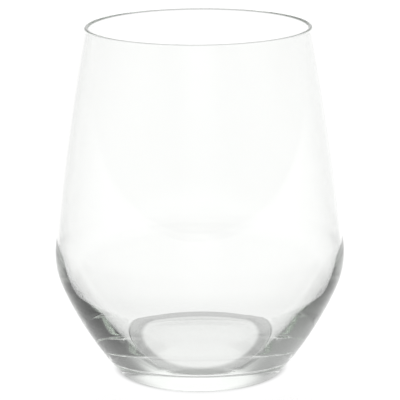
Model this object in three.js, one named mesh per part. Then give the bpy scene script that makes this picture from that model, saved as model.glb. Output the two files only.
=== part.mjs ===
// Stemless water glass: one piece of clear glass, a closed profile revolved about the Z axis.
// Millimetres, +Z up, with the origin at the centre of the plane that the glass stands on.
import * as THREE from "three";

// Outside
const HEIGHT = 110;
const RIM_DIAMETER = 70;
const UPPER_WALL_ROUND = 770;
const BELLY_DIAMETER = 90.3;
const BELLY_HEIGHT = 38.8;
const BELLY_ROUND = 25.3;
const LOWER_WALL_ROUND = 106;
const HEEL_ROUND = 4.3;
const FOOT_DIAMETER = 45.6;

// Underside: a flat standing ring round a shallow hollow
const STANDING_RING_WIDTH = 2.3;
const PUNT_DEPTH = 0.45;

// Glass thickness, and the rounds of the inside, which is widest a little above the outside
const RIM_WALL = 1.3;
const BELLY_WALL = 1.27;
const HEEL_WALL = 5.4;
const FLOOR_THICKNESS = 6.85;
const INNER_BELLY_RISE = 1.95;
const INNER_BELLY_ROUND = 24.8;
const BOWL_ROUND = 107;
const FLOOR_CORNER_ROUND = 2.2;

// Finish
const GLASS_COLOUR = 0xeff4f1;
const GLASS_ROUGHNESS = 0.03;
const GLASS_OPACITY = 0.35;

// How far a facet may lie from the true round
const FACET_ERROR = 0.03;

// A circle in the half plane of the profile: x is the distance from the axis and y the height.
function circle(x, y, radius) {
  return { centre: new THREE.Vector2(x, y), radius };
}

// The same centre, with the glass between the two. A wall thicker than the round gives a radius
// below zero, and the inside then passes on the near side of the centre.
function inset(outer, wall) {
  return { centre: outer.centre, radius: outer.radius - wall };
}

// The point at two given distances from two centres, on the left of the way from one to the other.
function pointAt(from, fromDistance, to, toDistance) {
  const gap = from.distanceTo(to);
  const along = to.clone().sub(from).normalize();
  const left = new THREE.Vector2(-along.y, along.x);
  const reach = (fromDistance ** 2 - toDistance ** 2 + gap ** 2) / (2 * gap);
  const aside = Math.sqrt(fromDistance ** 2 - reach ** 2);
  return from.clone().addScaledVector(along, reach).addScaledVector(left, aside);
}

// The large circle whose arc runs smoothly from a lower round into an upper one.
function wallBetween(lower, upper, radius) {
  const centre = pointAt(lower.centre, radius - lower.radius, upper.centre, radius - upper.radius);
  return { centre, radius };
}

// The small circle that rounds the corner between a level floor and the wall that rises from it.
function cornerAbove(height, wall, radius) {
  const rise = height + radius - wall.centre.y;
  const reach = Math.sqrt((wall.radius - radius) ** 2 - rise ** 2);
  return circle(wall.centre.x + reach, height + radius, radius);
}

// Direction from a large circle's centre to the point where a smaller one touches it.
function touch(large, small) {
  const way = small.centre.clone().sub(large.centre);
  return Math.atan2(way.y, way.x);
}

const footRadius = FOOT_DIAMETER / 2;
const bellyRadius = BELLY_DIAMETER / 2;
const lipRound = RIM_WALL / 2;
const lip = circle(RIM_DIAMETER / 2 - lipRound, HEIGHT - lipRound, lipRound);
const belly = circle(bellyRadius - BELLY_ROUND, BELLY_HEIGHT, BELLY_ROUND);
const heel = circle(footRadius, HEEL_ROUND, HEEL_ROUND);
const upperWall = wallBetween(belly, lip, UPPER_WALL_ROUND);
const lowerWall = wallBetween(heel, belly, LOWER_WALL_ROUND);

const innerBellyRadius = bellyRadius - BELLY_WALL;
const innerBellyHeight = BELLY_HEIGHT + INNER_BELLY_RISE;
const innerBelly = circle(innerBellyRadius - INNER_BELLY_ROUND, innerBellyHeight, INNER_BELLY_ROUND);
const innerUpperWall = wallBetween(innerBelly, inset(lip, RIM_WALL), UPPER_WALL_ROUND - RIM_WALL);
const bowl = wallBetween(inset(heel, HEEL_WALL), innerBelly, BOWL_ROUND);
const floorHeight = PUNT_DEPTH + FLOOR_THICKNESS;
const floorCorner = cornerAbove(floorHeight, bowl, FLOOR_CORNER_ROUND);

const puntRadius = footRadius - STANDING_RING_WIDTH;
const puntRound = (puntRadius ** 2 + PUNT_DEPTH ** 2) / (2 * PUNT_DEPTH);
const punt = circle(0, PUNT_DEPTH - puntRound, puntRound);

// The turn between two points of a round that keeps the facet within its error.
function facetTurn(radius) {
  return 2 * Math.acos(1 - Math.min(FACET_ERROR / radius, 1));
}

const QUARTER = Math.PI / 2;
const points = [];

// Carries the outline along a round, from where the outline has come to.
function follow({ centre, radius }, start, end) {
  const round = new THREE.ArcCurve(centre.x, centre.y, radius, start, end, end < start);
  const facets = Math.ceil(Math.abs(end - start) / facetTurn(radius));
  points.push(...round.getPoints(facets).slice(1));
}

// From the axis out along the underside, up the outside, over the lip and down the inside.
points.push(new THREE.Vector2(0, PUNT_DEPTH));
follow(punt, QUARTER, Math.atan2(-punt.centre.y, puntRadius));
points.push(new THREE.Vector2(footRadius, 0));
follow(heel, -QUARTER, touch(lowerWall, heel));
follow(lowerWall, touch(lowerWall, heel), touch(lowerWall, belly));
follow(belly, touch(lowerWall, belly), touch(upperWall, belly));
follow(upperWall, touch(upperWall, belly), touch(upperWall, lip));
follow(lip, touch(upperWall, lip), QUARTER);
follow(lip, QUARTER, touch(innerUpperWall, lip) + Math.PI);
follow(innerUpperWall, touch(innerUpperWall, lip), touch(innerUpperWall, innerBelly));
follow(innerBelly, touch(innerUpperWall, innerBelly), touch(bowl, innerBelly));
follow(bowl, touch(bowl, innerBelly), touch(bowl, floorCorner));
follow(floorCorner, touch(bowl, floorCorner), -QUARTER);
points.push(new THREE.Vector2(0, floorHeight));

// Each quarter has the same whole number of sides, so the body is as wide as the belly along both X and Y.
const FULL_TURN = 2 * Math.PI;
const quarterSides = Math.ceil(QUARTER / facetTurn(bellyRadius));
const sides = quarterSides * (FULL_TURN / QUARTER);
const glass = new THREE.MeshStandardMaterial({
  color: GLASS_COLOUR,
  roughness: GLASS_ROUGHNESS,
  metalness: 0,
  transparent: true,
  opacity: GLASS_OPACITY,
});

// The revolve turns about Y, so the finished body is stood up along Z.
const tumbler = new THREE.Mesh(new THREE.LatheGeometry(points, sides), glass);
tumbler.name = "tumbler";
tumbler.rotation.x = QUARTER;

const waterGlass = new THREE.Group();
waterGlass.add(tumbler);

export default waterGlass;
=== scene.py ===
import math

import bmesh
import bpy
from mathutils import Euler, Matrix, Vector


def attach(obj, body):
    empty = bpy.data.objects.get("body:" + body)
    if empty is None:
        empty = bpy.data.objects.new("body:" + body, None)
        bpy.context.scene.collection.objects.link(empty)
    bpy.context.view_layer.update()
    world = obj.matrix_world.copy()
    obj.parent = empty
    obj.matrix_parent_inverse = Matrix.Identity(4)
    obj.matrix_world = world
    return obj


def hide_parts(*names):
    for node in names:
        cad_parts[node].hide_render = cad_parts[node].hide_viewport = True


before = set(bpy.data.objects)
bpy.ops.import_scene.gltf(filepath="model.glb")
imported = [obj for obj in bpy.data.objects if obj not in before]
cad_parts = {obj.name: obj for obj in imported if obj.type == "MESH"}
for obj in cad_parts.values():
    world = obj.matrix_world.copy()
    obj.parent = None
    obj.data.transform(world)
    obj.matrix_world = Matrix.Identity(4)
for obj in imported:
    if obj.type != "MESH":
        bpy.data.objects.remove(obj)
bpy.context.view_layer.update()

mm = 0.001
zAxis = Vector((0, 0, 1))


# Camera

photoView = {
    "targetHeight": 55.07 * mm,
    "targetSide": 0.17 * mm,     # the glass stands a hair left of the middle
    "distance": 750 * mm,
    "elevation": math.radians(13.43),
    "roll": math.radians(-0.38),
    "focalPixels": 2406.5,
    "imagePixels": 400,
    "sensorWidth": 36,
    "clipStart": 10 * mm,
}


def addCamera(view):
    data = bpy.data.cameras.new("photoCamera")
    data.sensor_fit = "HORIZONTAL"
    data.sensor_width = view["sensorWidth"]
    data.lens = view["focalPixels"] / view["imagePixels"] * view["sensorWidth"]
    data.clip_start = view["clipStart"]
    camera = bpy.data.objects.new("photoCamera", data)
    bpy.context.collection.objects.link(camera)
    tilt = Euler((math.pi / 2 - view["elevation"], 0, 0)).to_matrix()
    turn = tilt @ Matrix.Rotation(view["roll"], 3, "Z")
    target = Vector((view["targetSide"], 0, view["targetHeight"]))
    stand = target + turn @ zAxis * view["distance"]
    camera.matrix_world = Matrix.Translation(stand) @ turn.to_4x4()
    bpy.context.scene.camera = camera


addCamera(photoView)
print("camera: placed at the photograph's angle")


# Glass: one outline of arcs that run smoothly into each other, outside and inside, spun round the axis

tumblerSize = {              # millimetres
    "height": 110,
    "rimDiameter": 70,
    "upperWallRound": 770,
    "bellyDiameter": 90.3,
    "bellyHeight": 38.8,
    "bellyRound": 25.3,
    "lowerWallRound": 106,
    "heelRound": 4.3,
    "footDiameter": 45.6,
    "standingRingWidth": 2.3,
    "puntDepth": 0.45,
    "rimWall": 1.3,
    "bellyWall": 1.27,
    "innerBellyRise": 1.95,      # the inside is widest a little higher than the outside
    "innerBellyRound": 24.8,
    "heelWall": 5.4,
    "bowlRound": 107,
    "floorCornerRound": 2.2,
    "floorThickness": 6.85,
    "sides": 256,
    "stepLength": 1.2,           # longest step along the outline
    "stepTurn": math.radians(6),
    "mergeGap": 0.0001,          # points closer than this are one point
    "leastEdge": 0.00001,
}


def circle(x, z, radius):
    return {"centre": Vector((x, z)), "radius": radius}


def inset(outer, wall):
    return {"centre": outer["centre"], "radius": outer["radius"] - wall}


# the point at two distances from two centres, on the left of the way between them
def pointAt(start, startDistance, end, endDistance):
    way = end - start
    gap = way.length
    along = way / gap
    left = Vector((-along.y, along.x))
    reach = (startDistance ** 2 - endDistance ** 2 + gap ** 2) / (2 * gap)
    return start + along * reach + left * math.sqrt(startDistance ** 2 - reach ** 2)


def wallBetween(lower, upper, radius):
    centre = pointAt(lower["centre"], radius - lower["radius"],
                     upper["centre"], radius - upper["radius"])
    return {"centre": centre, "radius": radius}


def touch(large, small):
    way = small["centre"] - large["centre"]
    return math.atan2(way.y, way.x)


def tumblerArcs(size):
    footRadius = size["footDiameter"] / 2
    bellyRadius = size["bellyDiameter"] / 2
    lipRound = size["rimWall"] / 2
    lip = circle(size["rimDiameter"] / 2 - lipRound, size["height"] - lipRound, lipRound)
    belly = circle(bellyRadius - size["bellyRound"], size["bellyHeight"], size["bellyRound"])
    heel = circle(footRadius, size["heelRound"], size["heelRound"])
    upperWall = wallBetween(belly, lip, size["upperWallRound"])
    lowerWall = wallBetween(heel, belly, size["lowerWallRound"])
    innerBelly = circle(bellyRadius - size["bellyWall"] - size["innerBellyRound"],
                        size["bellyHeight"] + size["innerBellyRise"], size["innerBellyRound"])
    innerWallRound = size["upperWallRound"] - size["rimWall"]
    innerUpperWall = wallBetween(innerBelly, inset(lip, size["rimWall"]), innerWallRound)
    bowl = wallBetween(inset(heel, size["heelWall"]), innerBelly, size["bowlRound"])
    floorHeight = size["puntDepth"] + size["floorThickness"]
    cornerRound = size["floorCornerRound"]
    cornerHeight = floorHeight + cornerRound
    cornerReach = math.sqrt((bowl["radius"] - cornerRound) ** 2 - (cornerHeight - bowl["centre"].y) ** 2)
    corner = circle(bowl["centre"].x + cornerReach, cornerHeight, cornerRound)
    puntRadius = footRadius - size["standingRingWidth"]
    puntRound = (puntRadius ** 2 + size["puntDepth"] ** 2) / (2 * size["puntDepth"])
    punt = circle(0, size["puntDepth"] - puntRound, puntRound)
    quarter = math.pi / 2
    puntEdge = math.atan2(-punt["centre"].y, puntRadius)
    lipEnd = touch(innerUpperWall, lip) + math.pi
    return [
        (punt, quarter, puntEdge),
        (heel, -quarter, touch(lowerWall, heel)),
        (lowerWall, touch(lowerWall, heel), touch(lowerWall, belly)),
        (belly, touch(lowerWall, belly), touch(upperWall, belly)),
        (upperWall, touch(upperWall, belly), touch(upperWall, lip)),
        (lip, touch(upperWall, lip), quarter),
        (lip, quarter, lipEnd),
        (innerUpperWall, lipEnd - math.pi, touch(innerUpperWall, innerBelly)),
        (innerBelly, touch(innerUpperWall, innerBelly), touch(bowl, innerBelly)),
        (bowl, touch(bowl, innerBelly), touch(bowl, corner)),
        (corner, touch(bowl, corner), -quarter),
    ]


def drawTumbler(size):
    bm = bmesh.new()
    tip = bm.verts.new((0, 0, size["puntDepth"] * mm))

    def lineTo(x, z):
        nonlocal tip
        nextTip = bm.verts.new((x * mm, 0, z * mm))
        bm.edges.new((tip, nextTip))
        tip = nextTip

    def arcAlong(arc, start, end):
        nonlocal tip
        sweep = abs(end - start)
        steps = math.ceil(max(sweep / size["stepTurn"], sweep * arc["radius"] / size["stepLength"]))
        centre = Vector((arc["centre"].x, 0, arc["centre"].y)) * mm
        spun = bmesh.ops.spin(bm, geom=[tip], cent=centre, axis=(0, -1, 0), angle=end - start, steps=steps,
                              use_duplicate=False)
        tip = next(part for part in spun["geom_last"] if isinstance(part, bmesh.types.BMVert))

    arcs = tumblerArcs(size)
    arcAlong(*arcs[0])                                # hollow under the foot
    lineTo(size["footDiameter"] / 2, 0)               # flat standing ring
    for arc in arcs[1:]:
        arcAlong(*arc)
    lineTo(0, size["puntDepth"] + size["floorThickness"])
    mergeGap = size["mergeGap"] * mm
    for vert in bm.verts:
        if vert.co.x < mergeGap:
            vert.co.x = 0            # on the axis
    bmesh.ops.spin(bm, geom=bm.verts[:] + bm.edges[:], cent=(0, 0, 0), axis=zAxis, angle=2 * math.pi,
                   steps=size["sides"], use_merge=True, use_duplicate=False)
    bmesh.ops.remove_doubles(bm, verts=bm.verts[:], dist=mergeGap)
    bmesh.ops.dissolve_degenerate(bm, edges=bm.edges[:], dist=size["leastEdge"] * mm)
    bmesh.ops.recalc_face_normals(bm, faces=bm.faces[:])
    for face in bm.faces:
        face.smooth = True
    return bm


glassFinish = {
    "colour": (0.9955, 1, 0.994, 1),
    "refraction": 1.52,
    "tint": (0.86, 0.99, 0.85, 1),       # grey-green, seen only where the glass is thick
    "tintDensity": 2.5,
    "polish": (0.0, 0.012),              # roughness from the clearest to the haziest spots
    "hazeScale": 60,
    "hazeDetail": 3,
    "waveScale": 45,                     # long soft waves that the melt leaves in the surface
    "waveDetail": 1,
    "waveHeight": 0.004 * mm,
    "stretch": (1, 1, 0.35),             # the waves run up the wall
}


def clearGlass(finish):
    material = bpy.data.materials.new("clearGlass")
    material.use_nodes = True
    tree = material.node_tree
    nodes, links = tree.nodes, tree.links
    shader = nodes["Principled BSDF"]
    shader.inputs["Base Color"].default_value = finish["colour"]
    shader.inputs["IOR"].default_value = finish["refraction"]
    shader.inputs["Transmission Weight"].default_value = 1

    place = nodes.new("ShaderNodeTexCoord")
    stretched = nodes.new("ShaderNodeMapping")
    stretched.inputs["Scale"].default_value = finish["stretch"]
    links.new(place.outputs["Object"], stretched.inputs["Vector"])

    haze = nodes.new("ShaderNodeTexNoise")
    haze.inputs["Scale"].default_value = finish["hazeScale"]
    haze.inputs["Detail"].default_value = finish["hazeDetail"]
    links.new(stretched.outputs["Vector"], haze.inputs["Vector"])
    polish = nodes.new("ShaderNodeMapRange")
    polish.inputs["To Min"].default_value, polish.inputs["To Max"].default_value = finish["polish"]
    links.new(haze.outputs["Fac"], polish.inputs["Value"])
    links.new(polish.outputs["Result"], shader.inputs["Roughness"])

    wave = nodes.new("ShaderNodeTexNoise")
    wave.inputs["Scale"].default_value = finish["waveScale"]
    wave.inputs["Detail"].default_value = finish["waveDetail"]
    links.new(stretched.outputs["Vector"], wave.inputs["Vector"])
    bump = nodes.new("ShaderNodeBump")
    bump.inputs["Distance"].default_value = finish["waveHeight"]
    links.new(wave.outputs["Fac"], bump.inputs["Height"])
    links.new(bump.outputs["Normal"], shader.inputs["Normal"])

    depth = nodes.new("ShaderNodeVolumeAbsorption")
    depth.inputs["Color"].default_value = finish["tint"]
    depth.inputs["Density"].default_value = finish["tintDensity"]
    links.new(depth.outputs["Volume"], nodes["Material Output"].inputs["Volume"])
    return material


def addPiece(name, bm, material):
    mesh = bpy.data.meshes.new(name)
    bm.to_mesh(mesh)
    bm.free()
    mesh.materials.append(material)
    piece = bpy.data.objects.new(name, mesh)
    bpy.context.collection.objects.link(piece)
    return piece


waterGlass = addPiece("waterGlass", drawTumbler(tumblerSize), clearGlass(glassFinish))
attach(waterGlass, "root")
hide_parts("tumbler")
print("glass:", len(waterGlass.data.polygons), "faces")


# node helpers for one node tree: a value is a number or another node's output
def nodeMaths(tree):
    def feed(socket, value):
        if isinstance(value, bpy.types.NodeSocket):
            tree.links.new(value, socket)
        else:
            socket.default_value = value

    def maths(operation, first, second=0):
        node = tree.nodes.new("ShaderNodeMath")
        node.operation = operation
        feed(node.inputs[0], first)
        feed(node.inputs[1], second)
        return node.outputs["Value"]

    def fade(value, start, end):
        node = tree.nodes.new("ShaderNodeMapRange")
        node.interpolation_type = "SMOOTHSTEP"
        feed(node.inputs["Value"], value)
        node.inputs["From Min"].default_value = start
        node.inputs["From Max"].default_value = end
        return node.outputs["Result"]

    # fades in over the first two limits and out over the last two
    def between(value, limits):
        first, second, third, fourth = limits
        return maths("MULTIPLY", fade(value, first, second), fade(value, fourth, third))

    def blend(first, second, share):
        node = tree.nodes.new("ShaderNodeMix")
        feed(node.inputs["Factor"], share)
        feed(node.inputs["A"], first)
        feed(node.inputs["B"], second)
        return node.outputs["Result"]

    return feed, maths, fade, between, blend


# Floor: a satin white table top with a painted pool of light round the foot and painted shade under it and
# just behind it

tableTop = {
    "radius": 6,
    "sides": 64,
    "gap": 0.02 * mm,                    # air under the foot, so that the two faces don't coincide
    "glow": 0.5,                         # of the open floor
    "gloss": 0.565,
    "roughness": 0.24,
    "glossLoss": 0.9,                    # share of the gloss that goes when seen from above
    "glossElevation": (18, 55),          # degrees over which it goes
    "pool": 1.005,                       # painted pool of light: glow round the foot
    "poolReach": (35 * mm, 64 * mm),
    "footShade": 0.175,
    "footReach": (21.5 * mm, 26 * mm),
    "ringShade": 0.45,                   # painted shade where the foot touches, falling a little to the back
    "ringReach": (19 * mm, 21 * mm, 25 * mm, 28 * mm),
    "ringShift": (0, 3.6 * mm, 0),
}


def addFloor(setup):
    bm = bmesh.new()
    bmesh.ops.create_circle(bm, cap_ends=True, segments=setup["sides"], radius=setup["radius"])
    bmesh.ops.translate(bm, verts=bm.verts[:], vec=(0, 0, -setup["gap"]))
    material = bpy.data.materials.new("paleFloor")
    material.use_nodes = True
    tree = material.node_tree
    tree.nodes.clear()
    feed, maths, fade, between, blend = nodeMaths(tree)

    place = tree.nodes.new("ShaderNodeTexCoord")

    def reachFrom(centre):
        node = tree.nodes.new("ShaderNodeVectorMath")
        node.operation = "DISTANCE"
        tree.links.new(place.outputs["Object"], node.inputs[0])
        node.inputs[1].default_value = centre
        return node.outputs["Value"]

    reach = reachFrom((0, 0, 0))
    openFloor = fade(reach, *setup["poolReach"])

    # painted shade under the foot, by place alone
    footStart, footEnd = setup["footReach"]
    shade = maths("MULTIPLY", fade(reach, footEnd, footStart), setup["footShade"])
    ring = between(reachFrom(setup["ringShift"]), setup["ringReach"])
    shade = maths("ADD", shade, maths("MULTIPLY", ring, setup["ringShade"]))
    glow = tree.nodes.new("ShaderNodeEmission")
    # the floor's glow carries the painted pool of light and, through shade, the painted shade
    light = blend(setup["pool"], setup["glow"], openFloor)
    feed(glow.inputs["Strength"], maths("MULTIPLY", light, maths("SUBTRACT", 1, shade)))

    # the table top shines more the lower it is seen
    facing = tree.nodes.new("ShaderNodeLayerWeight")
    facing.inputs["Blend"].default_value = 0.5
    elevation = maths("DEGREES", maths("ARCSINE", maths("SUBTRACT", 1, facing.outputs["Facing"])))
    fromAbove = fade(elevation, *setup["glossElevation"])
    satin = maths("SUBTRACT", 1, maths("MULTIPLY", fromAbove, setup["glossLoss"]))
    gloss = tree.nodes.new("ShaderNodeBsdfGlossy")
    feed(gloss.inputs["Color"], maths("MULTIPLY", openFloor, maths("MULTIPLY", satin, setup["gloss"])))
    gloss.inputs["Roughness"].default_value = setup["roughness"]
    both = tree.nodes.new("ShaderNodeAddShader")
    out = tree.nodes.new("ShaderNodeOutputMaterial")
    tree.links.new(glow.outputs["Emission"], both.inputs[0])
    tree.links.new(gloss.outputs["BSDF"], both.inputs[1])
    tree.links.new(both.outputs["Shader"], out.inputs["Surface"])
    floor = addPiece("paleFloor", bm, material)


addFloor(tableTop)


# Light: a dim room that is pale along the horizon, one wide soft light behind the glass with a brighter
# middle, a pale card behind the camera and a dark card over the left end of the light

room = {
    "up": 0.335,
    "back": 0.47,
    "left": 0.28,
    "right": 0.03,
    "colour": (1, 1, 1, 1),
    "bounces": 128,
}
horizon = {                  # degrees: azimuth from straight behind to the right, elevation from level
    "strength": 0.87,
    "azimuth": 0,
    "halfWidth": (25, 118),               # full inside the first, gone at the second
    "elevation": (-91, -90, 0.5, 9),
}
backLight = {
    "strength": 1.17,
    "azimuth": 4,
    "halfWidth": (2, 50.5),
    "elevation": (-39, 1, 20, 78.7),
}
lamp = {                     # brighter middle of the back light
    "strength": 1.08,
    "azimuth": 3,
    "halfWidth": (20, 42),
    "elevation": (15.5, 18.5, 22, 32),
}
frontCard = {
    "strength": 0.58,
    "azimuth": 180,
    "halfWidth": (3, 26),
    "elevation": (0.7, 23, 14.7, 37),
}
darkCard = {
    "strength": 0.1,
    "azimuth": -51.4,
    "halfWidth": (7, 22),
    "elevation": (31.7, 46.8, 58, 73),
}


def lightRoom(light, patches):
    world = bpy.data.worlds.new("room")
    bpy.context.scene.world = world
    world.use_nodes = True
    tree = world.node_tree
    feed, maths, fade, between, blend = nodeMaths(tree)

    # light from one side of the room, falling off with the square of the direction's part that way
    def side(part, strength):
        towards = maths("MAXIMUM", part, 0)
        return maths("MULTIPLY", maths("MULTIPLY", towards, towards), strength)

    place = tree.nodes.new("ShaderNodeTexCoord")
    split = tree.nodes.new("ShaderNodeSeparateXYZ")
    tree.links.new(place.outputs["Generated"], split.inputs["Vector"])
    x, y, z = (split.outputs[axis] for axis in "XYZ")
    glow = side(z, light["up"])
    glow = maths("ADD", glow, side(y, light["back"]))
    glow = maths("ADD", glow, side(x, light["right"]))
    glow = maths("ADD", glow, side(maths("MULTIPLY", x, -1), light["left"]))

    level = maths("SQRT", maths("SUBTRACT", 1, maths("MULTIPLY", z, z)))
    elevation = maths("DEGREES", maths("ARCSINE", z))
    for patch in patches:
        azimuth = math.radians(patch["azimuth"])
        across = maths("MULTIPLY", x, math.sin(azimuth))
        along = maths("ADD", across, maths("MULTIPLY", y, math.cos(azimuth)))
        turn = maths("DEGREES", maths("ARCCOSINE", maths("DIVIDE", along, level)))
        full, gone = patch["halfWidth"]
        inside = maths("MULTIPLY", fade(turn, gone, full), between(elevation, patch["elevation"]))
        glow = blend(glow, patch["strength"], inside)
    background = tree.nodes["Background"]
    feed(background.inputs["Strength"], glow)
    background.inputs["Color"].default_value = light["colour"]


lightRoom(room, [horizon, backLight, lamp, darkCard, frontCard])
scene = bpy.context.scene
scene.view_settings.view_transform = "Standard"
scene.cycles.max_bounces = room["bounces"]
scene.cycles.transmission_bounces = room["bounces"]
scene.cycles.glossy_bounces = room["bounces"]
scene.cycles.use_denoising = True
print("studio: floor and light set")
